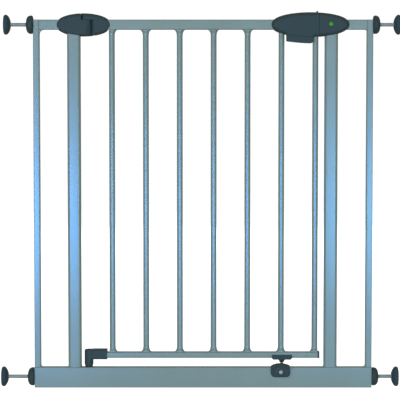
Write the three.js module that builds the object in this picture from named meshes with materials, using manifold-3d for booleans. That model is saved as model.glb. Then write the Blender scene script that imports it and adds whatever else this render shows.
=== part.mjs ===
// Pressure-fit stair gate with a squeeze latch, in millimetres.
// +X runs from the hinge side to the latch side, +Z is up, and the door opens towards +Y.
// The origin is on the floor, under the middle of the bottom rail.

import * as THREE from "three";
import { mergeVertices } from "three/addons/utils/BufferGeometryUtils.js";
import Module from "manifold-3d";

// ---------------------------------------------------------------- driving dimensions
const FRAME_TOP = 750;
const FRAME_HALF_WIDTH = 344.5;
const TUBE_HALF_DEPTH = 10;
const TUBE_WALL = 1.5;
const TUBE_CORNER = 2;
const POST_CORNER = 6.5;

const TOP_RAIL_BOTTOM = 730;
const BOTTOM_RAIL_TOP = 41.8;
const UPRIGHT_WIDTH = 12.5;
const LEFT_POST = [-275.8, -248.6];
const RIGHT_POST = [246.5, 273.5];

const DOOR_RAIL_BOTTOM = 61;
const DOOR_RAIL_TOP = 72.6;
const DOOR_RAIL_END = 234;
const BAR_RADIUS = 6;
const BAR_COUNT = 7;
const FIRST_BAR_X = -185.2;
const LAST_BAR_X = 228;
const WELD_REACH = 7;
const WELD_HEIGHT = 11;

const PIVOT_X = -233.8; // vertical swing axis of the door, at Y 0
const DOOR_START_X = PIVOT_X + 14.8;
const PIN_RADIUS = 4;
const RUNNING_GAP = 0.3;

const HINGE_OVAL = { x: -242.3, z: 739.5, a: 55.7, b: 23.2, depth: 12.2, edge: 6, wall: 1.8 };
const LATCH_OVAL = { x: 217, z: 740, a: 78.8, b: 24.7, depth: 17, edge: 7, wall: 2.2 };
const BARREL_RADIUS = 9.5;
const BARREL_TOP = 749.4;
const CAP_BOTTOM = 749.9;
const CAP_RADIUS = 14.2;
const SEAM_NOTCH = 3;
const TONGUE = { reach: BARREL_RADIUS + 0.4, half: 4 };

const LATCH_SEAM_X = 234.5;
const STRIKE_SEAM_X = 235;
const RAIL_PLUG = 3;
const DOOR_RAIL_TOP_END = 168;

const HANDLE = { left: 169.2, right: 221.6, halfDepth: 14.5, top: 723, lowLeft: 706.8, lowRight: 702.9 };
const LEVER = { x: 197, z: 735, drop: 15, arm: 14, reach: 17, front: 4, back: 8 };
const BOLT = { left: 185, right: 242, low: 737.5, high: 747.5, halfDepth: 3 };
const INDICATOR = { x: 258.4, z: 740.7, radius: 4.6 };

const STOP_AXIS = [158.6, 33.6];
const STOP_SIZE = { left: 138.6, right: 177.3, low: 23.2, high: 51, front: -22, back: -10.6, corner: 8 };
const STOP_PIN_X = 161;
const STOP_PIN_Y = -4;

const ROD_RADIUS = 4;
const NUT_RADIUS = 18.7;
const NUT_THICK = 14;
const PAD_RADIUS = 20.4;
const PAD_THICK = 13.5;
const TOP_SPINDLE_Z = 740;
const BOTTOM_SPINDLE_Z = 22;

// ---------------------------------------------------------------- materials
function finish(color, roughness, metalness) {
  return new THREE.MeshStandardMaterial({ color, roughness, metalness });
}

const silverPaint = finish(0x7f939a, 0.42, 0.35);
const slatePlastic = finish(0x36464e, 0.5, 0);
const darkRubber = finish(0x2c3539, 0.8, 0);
const zinc = finish(0xb4bcc0, 0.3, 0.9);
const steel = finish(0x8f979b, 0.35, 0.9);
const greenSignal = finish(0x3f9a2e, 0.4, 0);
const clearGreen = finish(0x57b83c, 0.15, 0);
const springSteel = finish(0x9aa1a5, 0.3, 0.9);

// ---------------------------------------------------------------- solids
const wasm = await Module();
wasm.setup();

function solid(geometry) {
  const bare = geometry.index ? geometry.toNonIndexed() : geometry.clone();
  bare.deleteAttribute("normal");
  bare.deleteAttribute("uv");
  const merged = mergeVertices(bare, 1e-4);
  return new wasm.Manifold(
    new wasm.Mesh({
      numProp: 3,
      vertProperties: merged.attributes.position.array,
      triVerts: new Uint32Array(merged.index.array),
    }),
  );
}

function geometryOf(manifold) {
  const mesh = manifold.getMesh();
  const geometry = new THREE.BufferGeometry();
  geometry.setAttribute("position", new THREE.BufferAttribute(mesh.vertProperties, 3));
  geometry.setIndex(new THREE.BufferAttribute(mesh.triVerts, 1));
  geometry.computeVertexNormals();
  return geometry;
}

const join = (...parts) => parts.reduce((whole, part) => whole.add(part));
const cut = (whole, ...tools) => tools.reduce((left, tool) => left.subtract(tool), whole);

// The local Z of an extrusion or the local Y of a lathe, laid along a world axis.
const ALONG = {
  x: new THREE.Matrix4().makeBasis(axis(0, 1, 0), axis(0, 0, 1), axis(1, 0, 0)),
  y: new THREE.Matrix4().makeBasis(axis(1, 0, 0), axis(0, 0, 1), axis(0, -1, 0)),
  z: new THREE.Matrix4(),
};

function axis(x, y, z) {
  return new THREE.Vector3(x, y, z);
}

function box([x0, x1], [y0, y1], [z0, z1]) {
  const geometry = new THREE.BoxGeometry(x1 - x0, y1 - y0, z1 - z0);
  geometry.translate((x0 + x1) / 2, (y0 + y1) / 2, (z0 + z1) / 2);
  return solid(geometry);
}

// Extrudes a shape. Along "x" the shape is drawn in (Y, Z), along "y" in (X, Z) and along "z" in (X, Y).
function extrude(shape, along, from, to, curveSegments = 8) {
  const geometry = new THREE.ExtrudeGeometry(shape, { depth: to - from, bevelEnabled: false, curveSegments });
  geometry.applyMatrix4(ALONG[along]);
  const start = { x: [from, 0, 0], y: [0, to, 0], z: [0, 0, from] }[along];
  geometry.translate(...start);
  return solid(geometry);
}

// Turns a profile of [radius, height] points about an axis through the given point.
function turned(profile, along, at, segments = 20) {
  const points = profile.map(([radius, height]) => new THREE.Vector2(radius, height));
  const geometry = new THREE.LatheGeometry(points, segments);
  geometry.rotateX(Math.PI / 2);
  if (along === "x") geometry.rotateY(Math.PI / 2);
  if (along === "y") geometry.rotateX(-Math.PI / 2);
  geometry.translate(...at);
  return solid(geometry);
}

// A cylinder that runs from one height to another on its axis.
function rod(radius, along, [u, v], from, to, segments = 20) {
  const at = { x: [0, u, v], y: [u, 0, v], z: [u, v, 0] }[along];
  return turned([[0, from], [radius, from], [radius, to], [0, to]], along, at, segments);
}

function roundedRect([u0, u1], [v0, v1], radius) {
  const shape = new THREE.Shape();
  shape.moveTo(u0 + radius, v0);
  shape.lineTo(u1 - radius, v0);
  shape.absarc(u1 - radius, v0 + radius, radius, -Math.PI / 2, 0, false);
  shape.lineTo(u1, v1 - radius);
  shape.absarc(u1 - radius, v1 - radius, radius, 0, Math.PI / 2, false);
  shape.lineTo(u0 + radius, v1);
  shape.absarc(u0 + radius, v1 - radius, radius, Math.PI / 2, Math.PI, false);
  shape.lineTo(u0, v0 + radius);
  shape.absarc(u0 + radius, v0 + radius, radius, Math.PI, 1.5 * Math.PI, false);
  return shape;
}

// A rectangular steel tube. An end is open unless startWall or endWall gives it a wall of that thickness.
function tube(along, from, to, spanU, spanV, { startWall = 0, endWall = 0, corner = TUBE_CORNER } = {}) {
  const arcSteps = corner > TUBE_CORNER ? 4 : 2;
  const outer = extrude(roundedRect(spanU, spanV, corner), along, from, to, arcSteps);
  const inset = ([low, high]) => [low + TUBE_WALL, high - TUBE_WALL];
  const hollow = roundedRect(inset(spanU), inset(spanV), corner - TUBE_WALL);
  const past = (wall) => (wall ? -wall : 1);
  return cut(outer, extrude(hollow, along, from - past(startWall), to + past(endWall), arcSteps - 1));
}

// A quarter-round weld fillet that fills an inner corner at (x, z) and reaches in the given directions.
function fillet(x, z, size, towardsX, towardsZ, halfDepth = TUBE_HALF_DEPTH - TUBE_CORNER) {
  const shape = new THREE.Shape();
  const arcSteps = 5;
  shape.moveTo(x, z);
  shape.lineTo(x + towardsX * size, z);
  for (let i = 1; i < arcSteps; i++) {
    const angle = (i / arcSteps) * (Math.PI / 2);
    shape.lineTo(x + towardsX * size * (1 - Math.sin(angle)), z + towardsZ * size * (1 - Math.cos(angle)));
  }
  shape.lineTo(x, z + towardsZ * size);
  return extrude(shape, "y", -halfDepth, halfDepth);
}

// A flat arm with round ends, drawn in (X, Z) and extruded along Y.
function link([x0, z0, r0], [x1, z1, r1], from, to) {
  const angle = Math.atan2(z1 - z0, x1 - x0);
  const spread = Math.acos((r0 - r1) / Math.hypot(x1 - x0, z1 - z0));
  const shape = new THREE.Shape();
  shape.absarc(x0, z0, r0, angle + spread, angle - spread + 2 * Math.PI, false);
  shape.absarc(x1, z1, r1, angle - spread, angle + spread, false);
  return extrude(shape, "y", from, to, 5);
}

// A compression spring whose wire follows a helix about the given axis.
function coil(along, [x, y, z], length, radius, wire, turns) {
  const stepsPerTurn = 8;
  class Helix extends THREE.Curve {
    getPoint(t, target = new THREE.Vector3()) {
      const angle = t * turns * 2 * Math.PI;
      const height = wire + t * (length - 2 * wire);
      return target.set(radius * Math.cos(angle), radius * Math.sin(angle), height);
    }
  }
  const section = new THREE.Shape();
  section.absarc(0, 0, wire, 0, 2 * Math.PI, false);
  const geometry = new THREE.ExtrudeGeometry(section, {
    extrudePath: new Helix(),
    steps: turns * stepsPerTurn,
    bevelEnabled: false,
    curveSegments: 2,
  });
  if (along === "x") geometry.applyMatrix4(ALONG.x);
  geometry.translate(x, y, z);
  return solid(geometry);
}

// ---------------------------------------------------------------- the assembly
const gate = new THREE.Group();

function place(name, part, material) {
  const mesh = new THREE.Mesh(geometryOf(part), material);
  mesh.name = name;
  gate.add(mesh);
}

const DEPTH = [-TUBE_HALF_DEPTH, TUBE_HALF_DEPTH];
const LEFT_UPRIGHT = [-FRAME_HALF_WIDTH, -FRAME_HALF_WIDTH + UPRIGHT_WIDTH];
const RIGHT_UPRIGHT = [FRAME_HALF_WIDTH - UPRIGHT_WIDTH, FRAME_HALF_WIDTH];
const ROD_HOLE = ROD_RADIUS + 0.5;

// ---------------------------------------------------------------- fixed frame
function bottomRail() {
  const endWall = TUBE_WALL;
  const rail = tube("x", -FRAME_HALF_WIDTH, FRAME_HALF_WIDTH, DEPTH, [0, BOTTOM_RAIL_TOP], {
    startWall: endWall,
    endWall,
  });
  const holes = rod(ROD_HOLE, "x", [0, BOTTOM_SPINDLE_Z], -FRAME_HALF_WIDTH - 1, FRAME_HALF_WIDTH + 1);
  return cut(rail, holes);
}

// An outer upright: closed at the top, open at the foot, with a hole for the upper spindle.
function outerUpright(span, railSide) {
  const inner = railSide > 0 ? span[1] : span[0];
  const upright = tube("z", BOTTOM_RAIL_TOP, FRAME_TOP, span, DEPTH, { endWall: TUBE_WALL });
  const foot = fillet(inner, BOTTOM_RAIL_TOP, 4, railSide, 1);
  const hole = rod(ROD_HOLE, "x", [0, TOP_SPINDLE_Z], span[0] - 1, span[1] + 1);
  return cut(join(upright, foot), hole);
}

// A latch or hinge post: a tube with large round corners, welded to the floor rail.
function post(span) {
  const ends = { endWall: TUBE_WALL, corner: POST_CORNER };
  const upright = tube("z", BOTTOM_RAIL_TOP, FRAME_TOP, span, DEPTH, ends);
  const halfDepth = TUBE_HALF_DEPTH - POST_CORNER;
  return join(
    upright,
    fillet(span[0] + 0.1, BOTTOM_RAIL_TOP, 4, -1, 1, halfDepth),
    fillet(span[1] - 0.1, BOTTOM_RAIL_TOP, 4, 1, 1, halfDepth),
  );
}

function topStub(from, to, cornerX, railSide, gusset) {
  const stub = tube("x", from, to, DEPTH, [TOP_RAIL_BOTTOM, FRAME_TOP]);
  return join(stub, fillet(cornerX, TOP_RAIL_BOTTOM, gusset, railSide, -1));
}

place("bottom_rail", bottomRail(), silverPaint);
place("left_outer_upright", outerUpright(LEFT_UPRIGHT, 1), silverPaint);
place("right_outer_upright", outerUpright(RIGHT_UPRIGHT, -1), silverPaint);
place("left_post", post(LEFT_POST), silverPaint);
place("right_post", post(RIGHT_POST), silverPaint);
place("left_top_rail", topStub(LEFT_UPRIGHT[1], LEFT_POST[0], LEFT_UPRIGHT[1], 1, 9), silverPaint);
place("right_top_rail", topStub(RIGHT_POST[1], RIGHT_UPRIGHT[0], RIGHT_UPRIGHT[0], -1, 3), silverPaint);

// ---------------------------------------------------------------- door panel
function doorTopRail() {
  const height = [TOP_RAIL_BOTTOM, FRAME_TOP];
  return tube("x", DOOR_START_X, DOOR_RAIL_TOP_END, DEPTH, height, { endWall: RAIL_PLUG });
}

function doorBottomRail() {
  return tube("x", DOOR_START_X, DOOR_RAIL_END, DEPTH, [DOOR_RAIL_BOTTOM, DOOR_RAIL_TOP]);
}

// An elliptical flare of [radius, height] points, from its rim on a rail to the bar it runs into.
function weldFlare(railZ, towards) {
  const steps = 3;
  const points = [];
  for (let i = 0; i <= steps; i++) {
    const angle = (i / steps) * (Math.PI / 2);
    const radius = BAR_RADIUS + WELD_REACH * (1 - Math.sin(angle));
    points.push([radius, railZ + towards * WELD_HEIGHT * (1 - Math.cos(angle))]);
  }
  return points;
}

// A round tube whose ends widen into a weld, no deeper than the rail, where they meet a rail.
function doorBar(x, top, flaredTop, [left, right]) {
  const low = DOOR_RAIL_TOP;
  const head = flaredTop ? weldFlare(top, -1).reverse() : [[BAR_RADIUS, top]];
  const bar = turned([[0, low], ...weldFlare(low, 1), ...head, [0, top]], "z", [x, 0, 0], 16);
  const depth = TUBE_HALF_DEPTH - TUBE_CORNER;
  const slab = box([x - left, x + right], [-depth, depth], [low - 1, top + 1]);
  return cut(bar.intersect(slab), rod(BAR_RADIUS - 1, "z", [x, 0], low - 1, top + 1, 12));
}

place("door_top_rail", doorTopRail(), silverPaint);
place("door_bottom_rail", doorBottomRail(), silverPaint);

const LAST_BAR_TOP = 724;
for (let i = 0; i < BAR_COUNT; i++) {
  const x = FIRST_BAR_X + (i * (LAST_BAR_X - FIRST_BAR_X)) / (BAR_COUNT - 1);
  const last = i === BAR_COUNT - 1;
  const inHousing = i >= BAR_COUNT - 2;
  const reach = BAR_RADIUS + WELD_REACH;
  const span = [i === 0 ? BAR_RADIUS : reach, last ? BAR_RADIUS : reach];
  place(`door_bar_${i + 1}`, doorBar(x, last ? LAST_BAR_TOP : TOP_RAIL_BOTTOM, !inHousing, span), silverPaint);
}
const SIXTH_BAR_X = LAST_BAR_X - (LAST_BAR_X - FIRST_BAR_X) / (BAR_COUNT - 1);

// A plug with a flat head that closes the open end of the door's bottom rail.
function doorEndCap() {
  const face = roundedRect(DEPTH, [DOOR_RAIL_BOTTOM - 0.3, DOOR_RAIL_TOP + 1], TUBE_CORNER);
  const head = extrude(face, "x", DOOR_RAIL_END, DOOR_RAIL_END + 3.8, 2);
  const inset = TUBE_WALL + 0.3;
  const plug = box(
    [DOOR_RAIL_END - 10, DOOR_RAIL_END + 1],
    [-TUBE_HALF_DEPTH + inset, TUBE_HALF_DEPTH - inset],
    [DOOR_RAIL_BOTTOM + inset, DOOR_RAIL_TOP - inset],
  );
  return join(head, plug);
}

place("door_end_cap", doorEndCap(), slatePlastic);

// ---------------------------------------------------------------- oval housings
// An elliptical pillow: flat front and back faces with rounded edges. inset gives the hollow inside it.
function pillow(oval, inset = 0) {
  const edge = oval.edge - inset * 0.5;
  const shape = new THREE.Shape();
  shape.absellipse(0, 0, oval.a - inset - edge, oval.b - inset - edge, 0, 2 * Math.PI, false);
  const flat = 2 * (oval.depth - inset - edge);
  const geometry = new THREE.ExtrudeGeometry(shape, {
    depth: flat,
    bevelThickness: edge,
    bevelSize: edge,
    bevelSegments: 3,
    curveSegments: 32,
  });
  geometry.translate(0, 0, -flat / 2);
  geometry.applyMatrix4(ALONG.y);
  geometry.translate(oval.x, 0, oval.z);
  return solid(geometry);
}

// A block much larger than a housing, on one side of Y 0.
const FAR = 200;
const frontHalf = (oval) => box([oval.x - FAR, oval.x + FAR], [-FAR, 0], [oval.z - FAR, oval.z + FAR]);
const rearHalf = (oval) => box([oval.x - FAR, oval.x + FAR], [0, FAR], [oval.z - FAR, oval.z + FAR]);

// A V-shaped groove across a seam, seen as a small notch in the outline.
function seamNotch(x, z, pointing) {
  const shape = new THREE.Shape();
  shape.moveTo(x, z - pointing * SEAM_NOTCH);
  shape.lineTo(x + 2.2, z + pointing * 2);
  shape.lineTo(x - 2.2, z + pointing * 2);
  return extrude(shape, "y", -FAR / 8, FAR / 8);
}

// The plan of the fixed half of the hinge below the cap. At the front it narrows to a barrel, and
// at the rear a groove beside the barrel takes the door's tongue when the door is open.
function barrelPlan(inset) {
  const shoulder = 4 + inset * 0.6;
  const rearShoulder = 10.5 + inset;
  const grooveAngle = (146 * Math.PI) / 180;
  const depth = HINGE_OVAL.depth - inset;
  const radius = BARREL_RADIUS - inset;
  const tangent = Math.atan2(shoulder, depth) + Math.PI / 2 - Math.acos(radius / Math.hypot(shoulder, depth));
  const shape = new THREE.Shape();
  shape.moveTo(PIVOT_X - 80, -20);
  shape.lineTo(PIVOT_X - shoulder, -20);
  shape.lineTo(PIVOT_X - shoulder, -depth);
  shape.absarc(PIVOT_X, 0, radius, -tangent, grooveAngle, false);
  shape.lineTo(PIVOT_X - rearShoulder, radius * Math.sin(grooveAngle));
  shape.lineTo(PIVOT_X - rearShoulder, 20);
  shape.lineTo(PIVOT_X - 80, 20);
  return shape;
}

// The plan of the fixed half beside the door's cap.
function besideCapPlan(inset) {
  const reach = CAP_RADIUS + 0.5 + inset;
  const straight = 12.7 + inset;
  const bend = Math.acos(straight / reach);
  const shape = new THREE.Shape();
  shape.moveTo(PIVOT_X - 80, -20);
  shape.lineTo(PIVOT_X - straight, -20);
  shape.absarc(PIVOT_X, 0, reach, Math.PI + bend, Math.PI - bend, true);
  shape.lineTo(PIVOT_X - straight, 20);
  shape.lineTo(PIVOT_X - 80, 20);
  return shape;
}

// The plan of the door's half below the cap, with a tongue that hugs the barrel at every swing angle.
function doorSidePlan(inset) {
  const edge = 12.7 + inset;
  const reach = TONGUE.reach + inset;
  const half = TONGUE.half - inset;
  const spread = Math.asin(half / reach);
  const shape = new THREE.Shape();
  shape.moveTo(PIVOT_X + edge, -20);
  shape.lineTo(PIVOT_X + 80, -20);
  shape.lineTo(PIVOT_X + 80, 20);
  shape.lineTo(PIVOT_X + edge, 20);
  shape.lineTo(PIVOT_X + edge, half);
  shape.absarc(PIVOT_X, 0, reach, spread, -spread, true);
  shape.lineTo(PIVOT_X + edge, -half);
  return shape;
}

// The plan of the door's cap, round about the pivot on its left.
function capPlan(inset) {
  const radius = CAP_RADIUS - inset;
  const shape = new THREE.Shape();
  shape.moveTo(PIVOT_X, -radius);
  shape.lineTo(PIVOT_X + 80, -radius);
  shape.lineTo(PIVOT_X + 80, radius);
  shape.lineTo(PIVOT_X, radius);
  shape.absarc(PIVOT_X, 0, radius, Math.PI / 2, 1.5 * Math.PI, false);
  return shape;
}

const HOUSING_LOW = 700;
const HOUSING_HIGH = 780;
const UNDER_BARREL_TOP = BARREL_TOP - HINGE_OVAL.wall;
const RAIL_CLEAR = TUBE_HALF_DEPTH + RUNNING_GAP;
const RAIL_SPACE = [TOP_RAIL_BOTTOM - RUNNING_GAP, FRAME_TOP + RUNNING_GAP];

const HINGE_POST_SCREW = [-266, 755.4];
const HINGE_DOOR_SCREW = [-208, 725.8];
const LATCH_SCREW = [175.5, 753];
const STRIKE_SCREW = [262, 755.4];
const SCREW = { shank: 1.5, head: 3.1, headHeight: 1.8, boss: 2.9 };

// A screw boss that stands from a front shell's inner face, with a blind hole in its end.
function screwBoss([x, z], oval) {
  const boss = rod(SCREW.boss, "y", [x, z], -oval.depth + oval.wall - 0.5, -0.5, 12);
  const hole = rod(SCREW.shank + 0.25, "y", [x, z], -oval.depth + oval.wall + 2, 1, 12);
  return { boss, hole };
}

function screw([x, z], oval) {
  const seat = oval.depth + 0.1;
  const tip = -oval.depth + oval.wall + 3;
  const profile = [
    [0, tip],
    [SCREW.shank, tip + 1],
    [SCREW.shank, seat],
    [SCREW.head, seat],
    [SCREW.head, seat + SCREW.headHeight * 0.6],
    [SCREW.head * 0.6, seat + SCREW.headHeight],
    [0, seat + SCREW.headHeight],
  ];
  return turned(profile, "y", [x, 0, z], 10);
}

const screwHole = ([x, z]) => rod(SCREW.shank + 0.3, "y", [x, z], 0, FAR / 8, 12);

// Two shells from a hollow body: the front one holds the screw boss and the rear one the screw's hole.
function shells(body, oval, screwAt) {
  const { boss, hole } = screwBoss(screwAt, oval);
  const front = cut(join(body.intersect(frontHalf(oval)), boss), hole);
  const rear = cut(body.intersect(rearHalf(oval)), screwHole(screwAt));
  return { front, rear };
}

function hingePostBody() {
  const lower = extrude(barrelPlan(0), "z", HOUSING_LOW, BARREL_TOP, 10);
  const upper = extrude(besideCapPlan(0), "z", BARREL_TOP, HOUSING_HIGH, 8);
  const outside = pillow(HINGE_OVAL).intersect(join(lower, upper));
  const wall = HINGE_OVAL.wall;
  const lowerHollow = extrude(barrelPlan(wall), "z", HOUSING_LOW, UNDER_BARREL_TOP, 10);
  const upperHollow = extrude(besideCapPlan(wall), "z", UNDER_BARREL_TOP - 1, HOUSING_HIGH, 8);
  const inside = pillow(HINGE_OVAL, wall).intersect(join(lowerHollow, upperHollow));
  const postSpace = box(
    [LEFT_POST[0] - RUNNING_GAP, LEFT_POST[1] + RUNNING_GAP],
    [-RAIL_CLEAR, RAIL_CLEAR],
    [HOUSING_LOW, RAIL_SPACE[1]],
  );
  const railSpace = box([LEFT_UPRIGHT[1], LEFT_POST[1]], [-RAIL_CLEAR, RAIL_CLEAR], RAIL_SPACE);
  const pinHole = rod(PIN_RADIUS + 0.4, "z", [PIVOT_X, 0], UNDER_BARREL_TOP - 2, HOUSING_HIGH);
  return cut(
    outside, inside, postSpace, railSpace, pinHole,
    seamNotch(PIVOT_X - CAP_RADIUS, HINGE_OVAL.z + HINGE_OVAL.b, 1),
  );
}

function hingeDoorBody() {
  const lower = extrude(doorSidePlan(0), "z", HOUSING_LOW, CAP_BOTTOM + 1, 8);
  const upper = extrude(capPlan(0), "z", CAP_BOTTOM, HOUSING_HIGH, 10);
  const outside = pillow(HINGE_OVAL).intersect(join(lower, upper));
  const wall = HINGE_OVAL.wall;
  const lowerHollow = extrude(doorSidePlan(wall), "z", HOUSING_LOW, CAP_BOTTOM + 1, 8);
  const upperHollow = extrude(capPlan(wall), "z", CAP_BOTTOM - 1, HOUSING_HIGH, 10);
  const inside = pillow(HINGE_OVAL, wall).intersect(join(lowerHollow, upperHollow));
  const railSpace = box([DOOR_START_X - RUNNING_GAP, FIRST_BAR_X], [-RAIL_CLEAR, RAIL_CLEAR], RAIL_SPACE);
  const barSpace = rod(BAR_RADIUS + WELD_REACH + 0.4, "z", [FIRST_BAR_X, 0], HOUSING_LOW, TOP_RAIL_BOTTOM);
  return cut(
    outside, inside, railSpace, barSpace,
    seamNotch(PIVOT_X - CAP_RADIUS, HINGE_OVAL.z + HINGE_OVAL.b, 1),
    seamNotch(PIVOT_X + 12.7, HINGE_OVAL.z - HINGE_OVAL.b + 1, -1),
  );
}

const hingePost = shells(hingePostBody(), HINGE_OVAL, HINGE_POST_SCREW);
const hingeDoor = shells(hingeDoorBody(), HINGE_OVAL, HINGE_DOOR_SCREW);
place("hinge_post_front_shell", hingePost.front, slatePlastic);
place("hinge_post_rear_shell", hingePost.rear, slatePlastic);
place("hinge_door_front_shell", hingeDoor.front, slatePlastic);
place("hinge_door_rear_shell", hingeDoor.rear, slatePlastic);
place("hinge_post_screw", screw(HINGE_POST_SCREW, HINGE_OVAL), zinc);
place("hinge_door_screw", screw(HINGE_DOOR_SCREW, HINGE_OVAL), zinc);

// ---------------------------------------------------------------- upper hinge inside the housing
// A steel sleeve on a web that is welded to the left post.
function upperHingeBracket() {
  const low = 722;
  const high = 746;
  const sleeve = rod(7.2, "z", [PIVOT_X, 0], low, high, 24);
  const web = box([LEFT_POST[1], PIVOT_X], [-4, 4], [low, high]);
  return cut(join(sleeve, web), rod(PIN_RADIUS + RUNNING_GAP, "z", [PIVOT_X, 0], low - 1, high + 1, 24));
}

// A steel strap on the door's top rail that carries the pivot pin.
function upperHingePin() {
  const strap = new THREE.Shape();
  strap.moveTo(PIVOT_X, -6);
  strap.lineTo(PIVOT_X + 24, -6);
  strap.lineTo(PIVOT_X + 24, 6);
  strap.lineTo(PIVOT_X, 6);
  strap.absarc(PIVOT_X, 0, 6, Math.PI / 2, 1.5 * Math.PI, false);
  return join(
    extrude(strap, "z", FRAME_TOP, FRAME_TOP + 3),
    rod(PIN_RADIUS, "z", [PIVOT_X, 0], 723, FRAME_TOP + 1, 24),
  );
}

place("upper_hinge_bracket", upperHingeBracket(), steel);
place("upper_hinge_pin", upperHingePin(), zinc);

// ---------------------------------------------------------------- lower hinge
const PIN_FLANGE = 5.8;
const BRACKET = { left: -242.9, right: -196.3, low: 58.3, high: 78.4, halfDepth: 12 };

// The dark corner bracket: a socket over the door's bottom rail, with a barrel down to the floor rail.
function lowerHingeBracket() {
  const radius = PIVOT_X - BRACKET.left;
  const foot = BOTTOM_RAIL_TOP + 0.4;
  const barrel = turned(
    [
      [0, foot], [radius - 1.6, foot], [radius - 1, foot + 3], [radius, foot + 6],
      [radius, BRACKET.high - 3], [radius - 0.9, BRACKET.high - 0.9], [radius - 3, BRACKET.high],
      [0, BRACKET.high],
    ],
    "z", [PIVOT_X, 0, 0], 28,
  );
  const arm = extrude(
    roundedRect([-BRACKET.halfDepth, BRACKET.halfDepth], [BRACKET.low, BRACKET.high], 3),
    "x", PIVOT_X + 8, BRACKET.right, 3,
  );
  const neck = box([PIVOT_X, PIVOT_X + 9], [-radius, radius], [BRACKET.low, BRACKET.high - 0.5]);
  const railSpace = box(
    [DOOR_START_X - RUNNING_GAP, BRACKET.right + 1],
    [-RAIL_CLEAR, RAIL_CLEAR],
    [DOOR_RAIL_BOTTOM - RUNNING_GAP, DOOR_RAIL_TOP + RUNNING_GAP],
  );
  const pinBore = rod(PIN_RADIUS + RUNNING_GAP, "z", [PIVOT_X, 0], foot - 1, BRACKET.high - 5, 24);
  const flangeBore = rod(PIN_FLANGE + RUNNING_GAP, "z", [PIVOT_X, 0], foot - 1, BOTTOM_RAIL_TOP + 2.4, 24);
  return cut(join(barrel, neck, arm), railSpace, pinBore, flangeBore);
}

// The steel pin that stands on the floor rail, with a flange that carries the door.
function lowerHingePin() {
  const base = BOTTOM_RAIL_TOP;
  const flange = [[0, base], [PIN_FLANGE, base], [PIN_FLANGE, base + 2], [PIN_RADIUS, base + 2]];
  return turned([...flange, [PIN_RADIUS, 71], [PIN_RADIUS - 1, 72], [0, 72]], "z", [PIVOT_X, 0, 0], 24);
}

place("lower_hinge_bracket", lowerHingeBracket(), slatePlastic);
place("lower_hinge_pin", lowerHingePin(), zinc);

// ---------------------------------------------------------------- latch: housing on the door
const SLIDE = { left: 214, right: 233.3, low: 756, high: 759 };
const FIN = { left: 228.2, right: 233.2, top: 768.2 };
const SLIDE_SPRING = [200.4, 213.7];
const BOLT_SPRING = [DOOR_RAIL_TOP_END + 0.3, BOLT.left - 0.3];
const HANDLE_SPRING_AT = [184, -9];
const HANDLE_SPRING_TOP = 742;
const BACK_WALL = LATCH_OVAL.depth - LATCH_OVAL.wall + 0.5;

// Above the handle the housing's faces run straight down to its outline, with no rounded edge.
function handleSkirt(inset) {
  const shape = new THREE.Shape();
  shape.absellipse(0, 0, LATCH_OVAL.a - 0.4, LATCH_OVAL.b - 0.4, 0, 2 * Math.PI, false);
  const depth = LATCH_OVAL.depth - inset;
  const skirt = extrude(shape, "y", -depth, depth, 18).translate([LATCH_OVAL.x, 0, LATCH_OVAL.z]);
  const span = [HANDLE.left + inset - 2.4, HANDLE.right - inset + 2.4];
  return skirt.intersect(box(span, [-FAR, FAR], [HOUSING_LOW, LATCH_OVAL.z - 5]));
}

function latchBody() {
  const low = HOUSING_LOW;
  const high = HOUSING_HIGH;
  const doorSide = box([0, LATCH_SEAM_X], [-FAR, FAR], [low, high]);
  const insideDoorSide = box([0, LATCH_SEAM_X - LATCH_OVAL.wall], [-FAR, FAR], [low, high]);
  const outside = join(pillow(LATCH_OVAL), handleSkirt(0)).intersect(doorSide);
  const hollow = join(pillow(LATCH_OVAL, LATCH_OVAL.wall), handleSkirt(LATCH_OVAL.wall));
  const inside = hollow.intersect(insideDoorSide);
  const railSpace = box([100, DOOR_RAIL_TOP_END + RUNNING_GAP], [-RAIL_CLEAR, RAIL_CLEAR], RAIL_SPACE);
  const barHole = (x, top) => rod(BAR_RADIUS + 0.4, "z", [x, 0], low, top, 20);
  const handleHole = box(
    [HANDLE.left - 0.3, HANDLE.right + 0.3],
    [LATCH_OVAL.wall - LATCH_OVAL.depth, LATCH_OVAL.depth - LATCH_OVAL.wall],
    [low, HANDLE.top + 0.3],
  );
  const atSeam = [LATCH_SEAM_X - 5, LATCH_SEAM_X + 5];
  const finSlot = box([FIN.left - 6.6, LATCH_SEAM_X + 5], [-5.4, 5.4], [SLIDE.high - 0.5, high]);
  const boltDepth = BOLT.halfDepth + 0.4;
  const boltHole = box(atSeam, [-boltDepth, boltDepth], [BOLT.low - 0.4, BOLT.high + 0.4]);
  const plateSlot = box(atSeam, [-6.4, 6.4], [SLIDE.low - 0.4, SLIDE.high + 0.4]);
  const barHoles = join(barHole(SIXTH_BAR_X, TOP_RAIL_BOTTOM), barHole(LAST_BAR_X, LAST_BAR_TOP + 0.4));
  return cut(outside, inside, railSpace, barHoles, handleHole, boltHole, finSlot, plateSlot);
}

// Ribs and bosses of the front shell: lever boss, spring ledge and a rail for the thumb slide.
function latchFrontDetails() {
  return join(
    rod(3.6, "y", [LEVER.x, LEVER.z], -BACK_WALL, -5, 14),
    box([179.5, 188.5], [-BACK_WALL, -5], [HANDLE_SPRING_TOP + 0.3, HANDLE_SPRING_TOP + 2.3]),
    box([216, 231.5], [-BACK_WALL, -4], [753.6, 755.6]),
  );
}

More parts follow.
